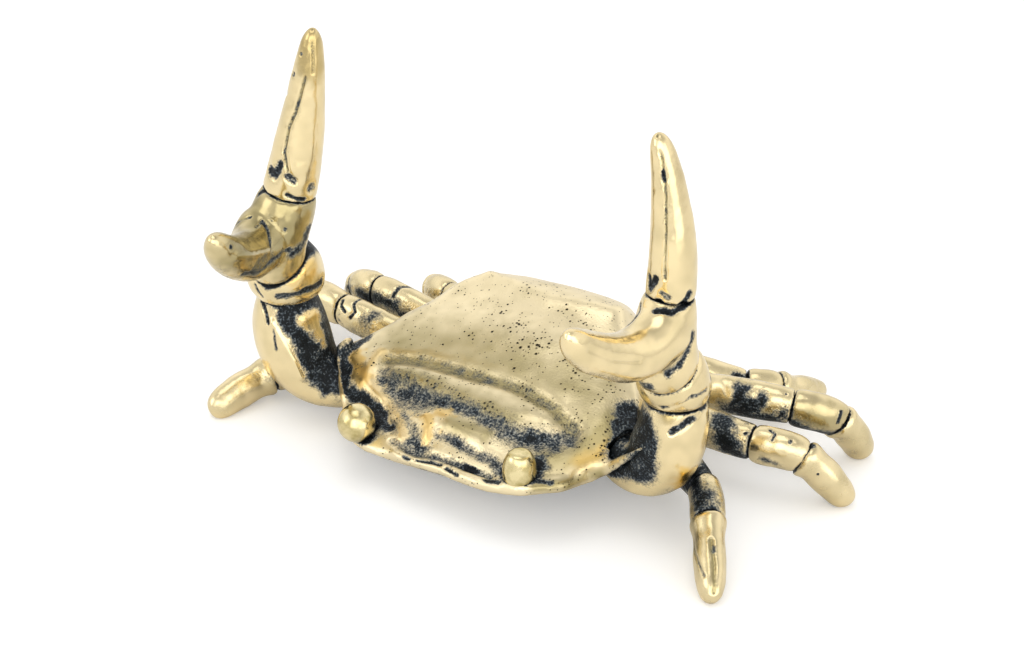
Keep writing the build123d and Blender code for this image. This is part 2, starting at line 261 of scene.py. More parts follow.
def antiqueBrass():
    material = bpy.data.materials.new("antiquedCastBrass")
    material.use_nodes = True
    tree = material.node_tree
    shader = tree.nodes["Principled BSDF"]
    place = addNode(tree, "TexCoord", {}).outputs["Object"]
    inMm = addNode(tree, "VectorMath", {0: place, "Scale": 1 / mm}, operation="SCALE").outputs[0]
    coat = {}
    for name in coatNames:
        coat[name] = addNode(tree, "Attribute", {}, attribute_name=name).outputs["Fac"]
    clouds = []
    for name, detail in (("crustBlotch", 4.0), ("crustGrain", 2.0), ("castWave", 1.0)):
        cloud = addNode(tree, "TexNoise", {"Vector": inMm, "Scale": 1 / antique[name], "Detail": detail})
        clouds.append(cloud.outputs[0])
    blotch, grain, wave = clouds

    crust, thick = crustCover(tree, coat["patina"], blotch, grain)
    pit = castingPits(tree, inMm, coat["pitting"], wave)
    crusted = addNode(tree, "Mix", {0: thick, 2: antique["thinCrustMetal"], 3: antique["sootMetal"]})
    metal = addNode(tree, "Mix", {0: crust, 2: 1.0, 3: crusted.outputs[0]}).outputs[0]
    shader.inputs["Specular IOR Level"].default_value = antique["crustGloss"]
    links = {
        "Base Color": antiqueColour(tree, coat, pit, crust, thick, grain, wave),
        "Metallic": metal,
        "Roughness": antiqueRoughness(tree, coat["satinAndSheen"], crust, blotch),
        "Normal": antiqueBump(tree, coat["satinAndSheen"], pit, crust, grain, wave),
    }
    for name, output in links.items():
        tree.links.new(output, shader.inputs[name])
    return material


# Polished brass, buffed after casting: smooth warm metal with a faint film
polished = {
    "brass": "#EBDBA8",
    "oliveTint": "#A9985C",
    "filmSize": 0.9,
    "tintRange": (0.4, 0.75),
    "shine": (0.14, 0.3),  # least and most roughness
    "bumpHeight": 0.05,
    "bumpStrength": 0.4,
}


def polishedBrass():
    material = bpy.data.materials.new("buffedBrass")
    material.use_nodes = True
    tree = material.node_tree
    shader = tree.nodes["Principled BSDF"]
    place = addNode(tree, "TexCoord", {}).outputs["Object"]
    inMm = addNode(tree, "VectorMath", {0: place, "Scale": 1 / mm}, operation="SCALE").outputs[0]
    oliveTint = addNode(tree, "TexNoise", {"Vector": inMm, "Scale": 1 / polished["filmSize"], "Detail": 3.0})
    oliveTint = oliveTint.outputs["Fac"]
    start, full = polished["tintRange"]
    amount = addNode(tree, "MapRange", {"Value": oliveTint, "From Min": start, "From Max": full}).outputs["Result"]
    patina = addNode(tree, "Attribute", {}, attribute_name="patina").outputs["Fac"]
    colour = linear(polished["brass"])
    for share, over in ((amount, polished["oliveTint"]), (patina, antique["crust"])):
        colour = addNode(tree, "Mix", {0: share, 6: colour, 7: linear(over)}, data_type="RGBA").outputs[2]
    tree.links.new(colour, shader.inputs["Base Color"])
    shader.inputs["Metallic"].default_value = 1.0
    smooth, dull = polished["shine"]
    rough = addNode(tree, "MapRange", {"Value": oliveTint, "To Min": smooth, "To Max": dull}).outputs["Result"]
    tree.links.new(rough, shader.inputs["Roughness"])
    bump = addNode(tree, "Bump", {"Height": oliveTint, "Strength": polished["bumpStrength"],
                                  "Distance": polished["bumpHeight"] * mm})
    tree.links.new(bump.outputs["Normal"], shader.inputs["Normal"])
    return material


# Casting: a copy of the CAD piece, remeshed, softened and made uneven, then worked by hand
castings = {}
mergeWithin = 0.002 * mm


def selectOnly(obj):
    bpy.ops.object.select_all(action="DESELECT")
    obj.select_set(True)
    bpy.context.view_layer.objects.active = obj


def applyModifier(obj, kind, **settings):
    modifier = obj.modifiers.new(kind.lower(), kind)
    for name, value in settings.items():
        setattr(modifier, name, value)
    bpy.ops.object.modifier_apply(modifier=modifier.name)


def lumpTexture(size):
    texture = bpy.data.textures.new("castLumps", "CLOUDS")
    texture.noise_scale = size * mm
    texture.noise_depth = 2
    return texture


def copyNode(nodeName):
    selectOnly(frame["nodes"][nodeName])
    bpy.ops.object.duplicate()
    piece = bpy.context.active_object
    piece.name = nodeName + "_cast"
    piece.parent = None
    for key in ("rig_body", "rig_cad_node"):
        del piece[key]
    bpy.ops.object.mode_set(mode="EDIT")
    bpy.ops.mesh.select_all(action="SELECT")
    bpy.ops.mesh.remove_doubles(threshold=mergeWithin)
    bpy.ops.object.mode_set(mode="OBJECT")
    return piece


# A bead of metal laid along a run of pixels, with its radius in mm at each, joined to the piece. It
# lies on whatever is nearer to the camera, the piece or the neighbour that it passes over
def layBead(piece, bead):
    over = (piece, frame["nodes"][bead["over"]])
    surfaces = [BVHTree.FromObject(obj, bpy.context.evaluated_depsgraph_get()) for obj in over]
    bpy.ops.curve.primitive_nurbs_path_add()
    path = bpy.context.active_object
    path.data.bevel_depth = 1 * mm
    path.data.bevel_resolution = 3
    path.data.use_fill_caps = True
    path.data.splines.clear()
    spline = path.data.splines.new("POLY")
    spline.points.add(len(bead["run"]) - 1)
    for point, (x, y, radius) in zip(spline.points, bead["run"]):
        aim = pixelAim((x, y))
        hits = [surface.ray_cast(cameraAt, aim)[3] or math.inf for surface in surfaces]
        reach = min(hits) - bead["proud"] * mm
        if reach == math.inf:
            nearest = Vector(onSurface(surfaces[0], Vector(shot["lookAt"]), (x, y)))
            reach = (nearest - cameraAt).dot(aim)
        point.co = (cameraAt + aim * reach).to_4d()
        point.radius = radius
    path.location = (0, 0, 0)
    bpy.ops.object.convert(target="MESH")
    strip = bpy.context.active_object
    selectOnly(piece)
    strip.select_set(True)
    bpy.ops.object.join()


def addLumps(piece, cast):
    applyModifier(piece, "DISPLACE", texture=lumpTexture(cast["lumpSize"]), texture_coords="LOCAL",
                  strength=cast["lumpHeight"] * mm, mid_level=0.5)
    bpy.ops.object.shade_smooth()


def castPiece(nodeName, cast, marks):
    piece = copyNode(nodeName)
    for bead in cast.get("beads", {}).values():
        layBead(piece, bead)
    applyModifier(piece, "REMESH", mode="VOXEL", voxel_size=cast["voxel"] * mm)
    applyModifier(piece, "SMOOTH", factor=0.5, iterations=cast["soften"])
    applyModifier(piece, "SUBSURF", levels=1, render_levels=1)
    addLumps(piece, cast)
    workPiece(piece, marks, cast["coats"])
    finishPiece(piece, nodeName, brassCast)
    return piece


# How marks are worked into the metal
handWork = {
    "tries": 5,  # steps towards the nearest point
    "raggedSize": 0.55,
    "ragged": 0.35,  # share of a mark's width, where the mark gives none
    "softEdge": 2,
    "firmEdge": 4,
}


def readPoints(piece):
    mesh = piece.data
    places = np.empty(len(mesh.vertices) * 3, np.float32)
    mesh.vertices.foreach_get("co", places)
    normals = np.empty(len(mesh.vertices) * 3, np.float32)
    mesh.vertex_normals.foreach_get("vector", normals)
    return places.reshape(-1, 3).astype(float), normals.reshape(-1, 3).astype(float)


def movePoints(piece, places):
    piece.data.vertices.foreach_set("co", places.astype(np.float32).ravel())
    piece.data.update()


def pixelAim(pixel):
    focal = shot["lens"] / shot["sensor"] * shot["picture"][0]
    across = pixel[0] - shot["picture"][0] / 2
    down = pixel[1] - shot["picture"][1] / 2
    return (rightAxis * across - upAxis * down - backAxis * focal).normalized()


# Point of a surface at a pixel, or the nearest one where the pixel lies just off the edge of the piece
def onSurface(surface, middle, pixel):
    aim = pixelAim(pixel)
    hit = surface.ray_cast(cameraAt, aim)[0]
    if hit is None:
        hit = middle
        for _ in range(handWork["tries"]):
            hit = surface.find_nearest(cameraAt + aim * (hit - cameraAt).dot(aim))[0]
    return np.array(hit)


def distanceTo(places, run):
    away = np.linalg.norm(places - run[0], axis=1)
    for start, end in zip(run, run[1:]):
        along = end - start
        share = np.clip((places - start) @ along / max(along @ along, 1e-12), 0, 1)
        away = np.minimum(away, np.linalg.norm(places - start - share[:, None] * along, axis=1))
    return away


# A mark is hand work on a piece along a run of pixels of the photograph: wide in mm, rise in mm (down if
# negative) and how much it adds of each coat. Bare rubs the crust off, soft ones fade out to their sides
def workPiece(piece, marks, coats):
    places, normals = readPoints(piece)
    surface = BVHTree.FromObject(piece, bpy.context.evaluated_depsgraph_get())
    middle = Vector(places.mean(0))
    grain = handWork["raggedSize"] * mm
    ragged = np.array([noise.noise(Vector(p) / grain) for p in places])
    coat = {name: np.full(len(places), coats.get(name, 0.0)) for name in coatNames}
    moved = np.zeros(len(places))
    for mark in marks.values():
        run = [onSurface(surface, middle, pixel) for pixel in mark["run"]]
        reach = mark["wide"] * mm
        away = distanceTo(places, run)
        moved += np.exp(-(away / reach) ** 2) * mark.get("rise", 0) * mm
        edge = handWork["softEdge" if mark.get("soft") else "firmEdge"]
        uneven = 1 + mark.get("ragged", handWork["ragged"]) * ragged
        cover = np.exp(-(away * uneven / reach) ** edge)
        coat["patina"] *= 1 - cover * mark.get("bare", 0)
        for name in coatNames:
            if name in mark:
                coat[name] = np.maximum(coat[name], cover * mark[name])
    movePoints(piece, places + normals * moved[:, None])
    castings[piece.name] = (piece, coat)


def finishPiece(piece, nodeName, material):
    piece.data.materials.clear()
    piece.data.materials.append(material)
    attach(piece, "root")
    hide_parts(nodeName)


brassCast = antiqueBrass()
brassBuffed = polishedBrass()


# Shell over the back
carapace = {
    "voxel": 0.25,
    "soften": 11,
    "lumpSize": 2.6,
    "lumpHeight": 0.12,
    "coats": {"pitting": 0.75, "satinAndSheen": 0.8},
    "beads": {
        "brow": {"run": [(392, 452, 0.3), (410, 460, 0.4), (440, 468, 0.45), (462, 477, 0.5),
                         (485, 485, 0.55), (520, 489, 0.6), (560, 485, 0.6), (590, 476, 0.55),
                         (612, 466, 0.48), (630, 456, 0.36), (646, 446, 0.15)],
                 "over": "right_claw_arm", "proud": 0.1},
        "corner": {"run": [(352, 338, 0.3), (342, 348, 0.42), (340, 362, 0.45), (341, 380, 0.45),
                           (345, 398, 0.35)], "over": "left_claw_arm", "proud": 0.1},
    },
    "marks": {
        # the S-shaped valley, and the swelling in front of it, whose olive tint is painted shade and dark
        # reflection
        "valley": {"run": [(388, 358), (422, 360), (446, 366), (471, 373), (495, 379), (517, 386),
                           (538, 397), (556, 410), (572, 428)], "wide": 0.65, "rise": -0.4,
                   "tarnishAndShade": 1.0, "patina": 0.28, "soft": True},
        "swelling": {"run": [(396, 373), (422, 382), (452, 395), (483, 407), (514, 419)], "wide": 1.1,
                     "rise": 0.28, "pitting": 1.2, "tarnishAndShade": 0.8, "patina": 0.2, "soft": True},
        # olive over the flank and behind the brow: painted dark reflection, with real casting pits
        "flank": {"run": [(400, 340), (460, 350), (530, 368), (590, 395), (600, 425)], "wide": 2.6,
                  "tarnishAndShade": 0.62, "pitting": 0.75, "soft": True},
        "browShadeAndPits": {"run": [(545, 462), (575, 452), (600, 438), (615, 415)], "wide": 1.5,
                     "tarnishAndShade": 0.85, "pitting": 0.9, "soft": True},
        # dark hollows behind the brow
        "longHollow": {"run": [(380, 378), (398, 388), (414, 395), (434, 399), (454, 404), (477, 416),
                               (500, 429), (521, 437), (544, 441), (566, 438)], "wide": 1.0,
                       "rise": -0.35, "patina": 0.7, "soft": True},
        "leftHollow": {"run": [(386, 384), (402, 392), (420, 397)], "wide": 1.4, "rise": -0.2,
                       "patina": 0.72, "soft": True},
        "rightHollow": {"run": [(528, 437), (556, 439)], "wide": 0.95, "rise": -0.15, "patina": 0.8,
                        "soft": True},
        "browHollow": {"run": [(388, 402), (399, 421), (409, 438), (420, 446)], "wide": 0.85,
                       "rise": -0.35, "patina": 0.75, "soft": True},
        "smallHollow": {"run": [(438, 434), (460, 444), (474, 452), (492, 460)], "wide": 0.5,
                        "rise": -0.2, "patina": 0.7, "soft": True},
        "island": {"run": [(452, 423), (483, 434)], "wide": 0.75, "rise": 0.25, "tarnishAndShade": 0.7,
                   "bare": 0.8},
        "scrape": {"run": [(426, 416), (430, 426), (426, 436)], "wide": 0.5, "rise": 0.2, "gilt": 0.6,
                   "bare": 0.9, "ragged": 0.9},
        "smallScrape": {"run": [(438, 411), (447, 414)], "wide": 0.45, "rise": 0.15, "gilt": 0.5,
                        "bare": 0.8, "ragged": 0.8},
        # left corner
        "cornerSlot": {"run": [(341, 366), (342, 384), (358, 396), (370, 400), (378, 408), (388, 424)],
                       "wide": 0.65, "rise": -0.3, "patina": 0.95},
        "cornerGold": {"run": [(350, 354), (358, 366), (364, 380)], "wide": 0.8, "rise": 0.15,
                       "gilt": 0.7, "bare": 0.8, "ragged": 0.7},
        "cornerSpots": {"run": [(344, 360), (349, 370)], "wide": 0.35, "patina": 0.7},
        "cornerRidge": {"run": [(380, 352), (371, 364), (368, 380), (376, 392), (389, 406), (400, 424),
                                (402, 436)], "wide": 0.5, "rise": 0.2, "gilt": 0.3, "bare": 0.75,
                        "ragged": 0.7},
        "leftRim": {"run": [(337, 352), (337, 378), (341, 396)], "wide": 0.3, "gilt": 0.4, "bare": 1.0},
        "cornerShade": {"run": [(344, 352), (354, 345), (368, 338)], "wide": 0.5, "rise": -0.15,
                        "patina": 0.9},
        # creases of the shell
        "leftCrease": {"run": [(338, 345), (370, 326), (410, 309), (450, 292), (490, 276)], "wide": 0.7,
                       "rise": 0.15},
        "backCrease": {"run": [(490, 276), (550, 299), (612, 311), (632, 318)], "wide": 0.7,
                       "rise": 0.2},
        "pitField": {"run": [(500, 318), (527, 336), (552, 352)], "wide": 2.2, "pitting": 1.25,
                     "soft": True},
        # lip of the brow and its slots
        "lip": {"run": [(380, 444), (400, 457), (420, 463), (440, 468), (460, 476), (483, 484),
                        (520, 489), (560, 485), (590, 476), (612, 466), (630, 456), (644, 447)],
                "wide": 0.5, "bare": 1.0, "ragged": 0.1},
        "lipShade": {"run": [(535, 487), (570, 483), (600, 475)], "wide": 0.5, "tarnishAndShade": 1.0,
                     "soft": True},
        "lipGroove": {"run": [(392, 440), (410, 450), (436, 457), (458, 464), (478, 472), (490, 476)],
                      "wide": 0.3, "rise": -0.2, "patina": 0.65, "soft": True},
        "lipSlot1": {"run": [(404, 457), (408, 459)], "wide": 0.2, "rise": -0.15, "patina": 1.0},
        "lipSlot2": {"run": [(416, 460), (434, 462), (440, 464)], "wide": 0.2, "rise": -0.25,
                     "patina": 1.0},
        "lipSlot3": {"run": [(446, 468), (456, 475)], "wide": 0.16, "rise": -0.2, "patina": 1.0},
        "lipSlot4": {"run": [(466, 467), (474, 470)], "wide": 0.22, "rise": -0.15, "patina": 1.0},
        "lipSlot5": {"run": [(486, 479), (498, 481)], "wide": 0.28, "rise": -0.15, "patina": 0.9},
        "lipSlot6": {"run": [(540, 480), (550, 482)], "wide": 0.28, "rise": -0.15, "patina": 0.9},
        "eyeShadeLeft": {"run": [(494, 464), (499, 470)], "wide": 0.5, "patina": 0.75, "soft": True},
        "eyeShadeRight": {"run": [(540, 458), (544, 468)], "wide": 0.5, "patina": 0.75, "soft": True},
        "lipGold": {"run": [(580, 462), (600, 454), (618, 444)], "wide": 0.6, "gilt": 0.45,
                    "tarnishAndShade": 0.8, "pitting": 1.0, "soft": True},
        # black hollow behind the right arm
        "armHollow": {"run": [(630, 410), (640, 418), (646, 430), (636, 436), (628, 426)], "wide": 1.2,
                      "rise": -0.5, "patina": 1.0, "ragged": 0.2},
    },
}


def castCarapace():
    piece = castPiece("carapace", carapace, carapace["marks"])
    print("carapace cast,", len(piece.data.polygons), "faces")


# Underside
belly = {
    "voxel": 0.35,
    "soften": 6,
    "lumpSize": 2.4,
    "lumpHeight": 0.2,
    "coats": {"patina": 0.45, "satinAndSheen": 0.8},
}


def castBelly():
    castPiece("belly_plate", belly, {})
    print("belly cast")


# Raised claws: arm, wrist, palm with thumb, finger
claws = {
    "voxel": 0.18,
    "soften": 6,
    "lumpSize": 2.2,
    "lumpHeight": 0.12,
    "coats": {"pitting": 0.12},
    "left_claw_finger": {
        # the groove's olive is painted shade along the crease, with some real crust in it
        "groove": {"run": [(305, 78), (300, 97), (295, 113), (289, 126), (286, 141), (284, 152),
                           (287, 171)], "wide": 0.12, "rise": -0.18, "patina": 0.42, "tarnishAndShade": 1.0},
        "tipLine": {"run": [(312, 29), (312, 46), (313, 58), (313, 73)], "wide": 0.1, "rise": -0.08,
                    "patina": 0.35, "tarnishAndShade": 0.8},
        "tipCap": {"run": [(308, 40), (310, 56), (314, 68)], "wide": 1.1, "tarnishAndShade": 0.6, "gilt": 0.2},
        "innerFlat": {"run": [(306, 110), (304, 140), (302, 160)], "wide": 0.7, "rise": -0.12,
                      "soft": True},
        "baseHole": {"run": [(279, 165), (274, 174), (269, 170)], "wide": 0.4, "rise": -0.25,
                     "patina": 1.0},
        "baseNick1": {"run": [(288, 177), (294, 181)], "wide": 0.3, "rise": -0.2, "patina": 0.75},
        "baseNick2": {"run": [(312, 188)], "wide": 0.42, "rise": -0.2, "patina": 0.8},
        "baseLine": {"run": [(287, 195), (296, 199), (305, 200)], "wide": 0.18, "rise": -0.15,
                     "patina": 0.9},
        "edgeNick1": {"run": [(293, 74)], "wide": 0.2, "rise": -0.15, "patina": 0.9},
        "edgeNick2": {"run": [(287, 92), (285, 98)], "wide": 0.16, "rise": -0.12, "patina": 0.6},
        "edgeNick3": {"run": [(301, 54)], "wide": 0.14, "rise": -0.1, "patina": 0.7},
    },
    "left_claw_palm": {
        # olive over the palm: painted dark reflection
        "oliveTint": {"run": [(240, 250), (265, 215), (295, 215), (280, 250)], "wide": 2.6, "tarnishAndShade": 0.85,
                 "soft": True},
        "upperEdge": {"run": [(254, 191), (265, 190)], "wide": 0.25, "rise": -0.15, "patina": 0.9},
        "baseLine": {"run": [(287, 195), (296, 199), (305, 200)], "wide": 0.18, "rise": -0.15,
                     "patina": 0.9},
        "baseShade": {"run": [(308, 189), (316, 187)], "wide": 0.25, "rise": -0.15, "patina": 0.9},
        # olive at the crook: painted dark reflection
        "crook": {"run": [(236, 226), (246, 218)], "wide": 0.6, "tarnishAndShade": 0.9, "soft": True},
        "crookCrack": {"run": [(236, 224), (250, 217)], "wide": 0.13, "rise": -0.12, "patina": 0.75},
        "crack": {"run": [(262, 221), (268, 230), (271, 247)], "wide": 0.11, "rise": -0.12,
                  "patina": 0.75},
        "crackEnd": {"run": [(262, 221), (256, 227)], "wide": 0.1, "rise": -0.08, "patina": 0.5},
        "pock1": {"run": [(231, 247)], "wide": 0.16, "rise": -0.1, "patina": 0.9},
        "pock2": {"run": [(285, 230)], "wide": 0.2, "rise": -0.1, "patina": 0.7},
        "fold": {"run": [(236, 256), (252, 254), (268, 250)], "wide": 0.35, "rise": 0.2, "soft": True},
        "sideBlack": {"run": [(312, 230), (304, 243), (293, 254)], "wide": 0.45, "patina": 0.9,
                      "soft": True},
        "underShade": {"run": [(258, 268), (274, 260)], "wide": 0.8, "rise": -0.15, "tarnishAndShade": 1.0,
                       "patina": 0.35},
        "underLine": {"run": [(244, 274), (258, 275), (273, 262), (290, 250)], "wide": 0.25,
                      "rise": -0.1, "patina": 0.75},
    },
    "left_claw_wrist": {
        "upperSeam": {"run": [(268, 284), (278, 278)], "wide": 0.5, "rise": -0.15, "patina": 0.95},
        "upperShade": {"run": [(294, 262), (304, 253), (313, 242)], "wide": 0.75, "rise": -0.15,
                       "patina": 1.0},
        "gold": {"run": [(294, 276), (312, 268)], "wide": 0.8, "gilt": 0.6, "bare": 1.0},
        "lowerSeam": {"run": [(279, 297), (305, 291), (322, 282)], "wide": 0.35, "rise": -0.15,
                      "patina": 1.0},
        "crack": {"run": [(255, 285), (262, 297)], "wide": 0.15, "rise": -0.1, "patina": 0.9},
    },
    "left_claw_arm": {
        "upperBlack": {"run": [(290, 303), (300, 306), (318, 300)], "wide": 0.75, "rise": -0.1,
                       "patina": 1.0},
        "middleBlack": {"run": [(286, 318), (294, 331), (306, 345)], "wide": 0.8, "rise": -0.15,
                        "patina": 1.0},
        "lowerBlack": {"run": [(310, 352), (318, 365), (327, 380)], "wide": 1.3, "rise": -0.25,
                       "patina": 1.0},
        "backBlack": {"run": [(322, 302), (328, 325), (334, 345), (338, 372)], "wide": 1.0,
                      "rise": -0.1, "patina": 1.0},
        "rubbed": {"run": [(302, 320), (314, 314)], "wide": 0.5, "rise": 0.15, "bare": 0.75,
                   "gilt": 0.35},
        "ridge": {"run": [(273, 323), (281, 339), (294, 361), (301, 377)], "wide": 0.3, "rise": 0.2,
                  "bare": 1.0},
        "crack": {"run": [(262, 297), (266, 313), (268, 323)], "wide": 0.16, "rise": -0.15,
                  "patina": 1.0},
        "lowCrack": {"run": [(274, 329), (276, 350)], "wide": 0.12, "rise": -0.1, "patina": 0.7},
    },
    "right_claw_finger": {
        # the groove's olive is painted shade along the crease, with some real crust in it
        "groove": {"run": [(657, 135), (662, 158), (664, 174), (666, 196), (666, 235), (665, 280)],
                   "wide": 0.09, "rise": -0.15, "patina": 0.32, "tarnishAndShade": 1.0},
        "nick": {"run": [(663, 172), (664, 180)], "wide": 0.17, "rise": -0.1, "patina": 0.8},
        "baseHole": {"run": [(646, 278), (649, 288), (655, 280)], "wide": 0.32, "rise": -0.2,
                     "patina": 1.0},
        "baseNick": {"run": [(661, 293), (668, 298)], "wide": 0.22, "rise": -0.1, "patina": 0.7},
        "seam": {"run": [(656, 311), (671, 312), (684, 307), (690, 294)], "wide": 0.3, "rise": -0.15,
                 "patina": 1.0},
    },
    "right_claw_palm": {
        "edgeLine": {"run": [(614, 331), (624, 322), (633, 313), (640, 304)], "wide": 0.16,
                     "rise": -0.1, "patina": 0.85},
        "seam": {"run": [(656, 311), (671, 312), (684, 307), (690, 294)], "wide": 0.25, "rise": -0.12,
                 "patina": 1.0},
        "crease": {"run": [(590, 350), (612, 360), (640, 361)], "wide": 0.25, "rise": -0.12},
        "wristShade": {"run": [(668, 375), (683, 361), (692, 344), (698, 334)], "wide": 0.3,
                       "rise": -0.15, "patina": 0.9, "soft": True},
        "underShade": {"run": [(642, 384), (650, 386)], "wide": 0.35, "patina": 0.8},
    },
    "right_claw_wrist": {
        "upperShade": {"run": [(668, 377), (684, 363), (694, 346), (700, 334)], "wide": 0.3,
                       "rise": -0.1, "patina": 0.85},
        "backShade": {"run": [(704, 336), (713, 357), (723, 372)], "wide": 0.5, "rise": -0.1,
                      "patina": 0.95},
        "pock": {"run": [(658, 392)], "wide": 0.2, "rise": -0.12, "patina": 0.9},
        "lowerSeam": {"run": [(662, 408), (692, 397), (707, 390)], "wide": 0.18, "rise": -0.12,
                      "patina": 0.8},
    },
    "right_claw_arm": {
        "bandGold": {"run": [(668, 412), (690, 405), (704, 398)], "wide": 0.6, "tarnishAndShade": 0.9,
                     "gilt": 0.25},
        "bandShade": {"run": [(680, 404), (706, 395)], "wide": 0.25, "patina": 0.7},
        "bandLine": {"run": [(671, 433), (690, 420), (706, 403)], "wide": 0.25, "rise": -0.2,
                     "patina": 0.85},
        "scrape": {"run": [(684, 472), (680, 485)], "wide": 0.5, "rise": 0.15, "gilt": 0.9,
                   "ragged": 0.6},
        "innerBlack": {"run": [(636, 410), (642, 425), (644, 440), (643, 460), (640, 474)],
                       "wide": 1.15, "rise": -0.15, "patina": 1.0, "ragged": 0.15},
        "edgeBlack": {"run": [(630, 400), (632, 418), (633, 440), (630, 460)], "wide": 1.0,
                      "patina": 1.0, "ragged": 0.15},
        "lowerBlack": {"run": [(605, 462), (625, 462), (640, 470)], "wide": 1.3, "rise": -0.2,
                       "patina": 1.0, "ragged": 0.15},
        "lowRim": {"run": [(598, 482), (625, 494), (652, 498)], "wide": 0.42, "rise": 0.1, "bare": 1.0},
    },
}


def castClaws():
    for side in ("left", "right"):
        for part in ("arm", "wrist", "palm", "finger"):
            nodeName = f"{side}_claw_{part}"
            castPiece(nodeName, claws, claws[nodeName])
        print(side, "claw cast")


# Walking legs: thigh, shin and foot, the front one first
legs = {
    "voxel": 0.18,
    "soften": 4,
    "lumpSize": 2.0,
    "lumpHeight": 0.16,
    "coats": {"satinAndSheen": 0.25, "pitting": 0.15, "tarnishAndShade": 0.15},
    "left_leg_1_shin": {
        "knot": {"run": [(265, 376)], "wide": 0.35, "rise": -0.1, "patina": 0.9},
        "seam": {"run": [(273, 393)], "wide": 0.3, "rise": -0.1, "patina": 0.8},
    },
    "left_leg_2_thigh": {
        "crack": {"run": [(343, 300), (341, 306), (345, 312)], "wide": 0.13, "rise": -0.08,
                  "patina": 0.9},
        "bend": {"run": [(361, 299), (354, 304), (355, 312), (350, 318)], "wide": 0.14, "rise": -0.08,
                 "patina": 0.9},
        "root": {"run": [(364, 320), (375, 315)], "wide": 0.6, "patina": 0.7, "soft": True},
    },
    "left_leg_3_thigh": {
        "bend": {"run": [(413, 283), (400, 287), (393, 296)], "wide": 0.2, "rise": -0.1, "patina": 0.9},
        "under": {"run": [(375, 298), (395, 304)], "wide": 0.5, "patina": 0.65, "soft": True},
    },
    "left_leg_3_shin": {
        "under": {"run": [(358, 293), (375, 298)], "wide": 0.4, "patina": 0.65, "soft": True},
    },
    "right_leg_1_thigh": {
        "root": {"run": [(712, 462), (712, 478)], "wide": 1.0, "rise": -0.1, "patina": 1.0,
                 "soft": True},
        "crust": {"run": [(707, 484), (706, 502)], "wide": 1.5, "rise": -0.1, "patina": 0.95,
                  "soft": True, "ragged": 0.6},
    },
    "right_leg_1_shin": {
        "crust": {"run": [(705, 500), (706, 510)], "wide": 1.2, "patina": 0.9, "soft": True},
        "ring": {"run": [(691, 523), (707, 525), (724, 522)], "wide": 0.22, "rise": -0.15,
                 "patina": 0.85},
        "gold": {"run": [(692, 508), (694, 516)], "wide": 0.4, "gilt": 0.4, "tarnishAndShade": 0.8},
    },
    "right_leg_1_foot": {
        "groove": {"run": [(690, 540), (696, 556), (704, 576)], "wide": 0.1, "rise": -0.1,
                   "patina": 0.5},
        # olive in the crease: painted shade
        "crease": {"run": [(711, 540), (714, 565), (714, 592)], "wide": 0.2, "rise": -0.15,
                   "tarnishAndShade": 1.0},
        "pocks": {"run": [(714, 547), (713, 552)], "wide": 0.2, "patina": 0.5},
    },
    "right_leg_2_thigh": {
        "root": {"run": [(722, 420), (724, 436), (730, 446)], "wide": 1.0, "patina": 1.0, "soft": True,
                 "ragged": 0.6},
        "under": {"run": [(735, 452), (750, 455), (762, 456)], "wide": 0.6, "patina": 0.95,
                  "soft": True},
        "crack": {"run": [(745, 434), (755, 429), (766, 430)], "wide": 0.14, "rise": -0.1,
                  "patina": 0.8},
    },
    "right_leg_2_shin": {
        "crack": {"run": [(770, 430), (775, 434), (772, 440)], "wide": 0.12, "rise": -0.1,
                  "patina": 0.9},
        "pock": {"run": [(790, 442)], "wide": 0.18, "patina": 0.9},
        "under": {"run": [(762, 459), (775, 463)], "wide": 0.35, "patina": 0.7, "soft": True},
    },
    "right_leg_2_foot": {
        "shade": {"run": [(808, 448), (812, 446)], "wide": 0.3, "patina": 0.8},
        "pock": {"run": [(818, 474)], "wide": 0.1, "patina": 0.9},
    },
    "right_leg_3_thigh": {
        "root": {"run": [(738, 394), (742, 404), (752, 408)], "wide": 0.9, "patina": 1.0, "soft": True,
                 "ragged": 0.6},
        "knot": {"run": [(762, 398), (760, 404)], "wide": 0.5, "rise": -0.1, "patina": 0.9,
                 "soft": True},
        "under": {"run": [(745, 415), (765, 419), (788, 423)], "wide": 0.6, "patina": 0.9,
                  "soft": True},
        "collar": {"run": [(724, 380), (726, 396)], "wide": 0.55, "rise": 0.15, "bare": 1.0},
        "crack": {"run": [(786, 394), (794, 400), (799, 407)], "wide": 0.1, "rise": -0.08,
                  "patina": 0.8},
    },
    "right_leg_3_shin": {
        # olive over the shin: painted dark reflection
        "oliveTint": {"run": [(800, 412), (835, 425)], "wide": 1.4, "tarnishAndShade": 0.7, "soft": True},
        "under": {"run": [(794, 424), (815, 434), (838, 444)], "wide": 0.5, "patina": 0.75,
                  "soft": True},
        "ring": {"run": [(841, 412), (838, 422)], "wide": 0.16, "patina": 0.9},
    },
    "right_leg_4_thigh": {
        "root": {"run": [(738, 378), (752, 384), (766, 388)], "wide": 0.6, "patina": 1.0},
        "ring": {"run": [(774, 377), (775, 384)], "wide": 0.18, "patina": 0.9},
    },
}


def castLegs():
    for side in ("left", "right"):
        for number in range(1, 5):
            for part in ("thigh", "shin", "foot"):
                nodeName = f"{side}_leg_{number}_{part}"
                castPiece(nodeName, legs, legs.get(nodeName, {}))
        print(side, "legs cast")


# Eyes: a round ball on the left, a taller stud on the right, drawn some way towards a barrel
eyes = {
    "left_eye": {"ball": 1.4, "stretch": 1.0, "barrel": 0.0, "shift": (-0.3, -0.2, 0.0)},
    "right_eye": {"ball": 1.12, "stretch": 1.4, "barrel": 0.35, "shift": (0.0, 0.0, -0.3)},
    "segments": 64,
    "rings": 40,
    "lumpSize": 1.4,
    "lumpHeight": 0.09,
}


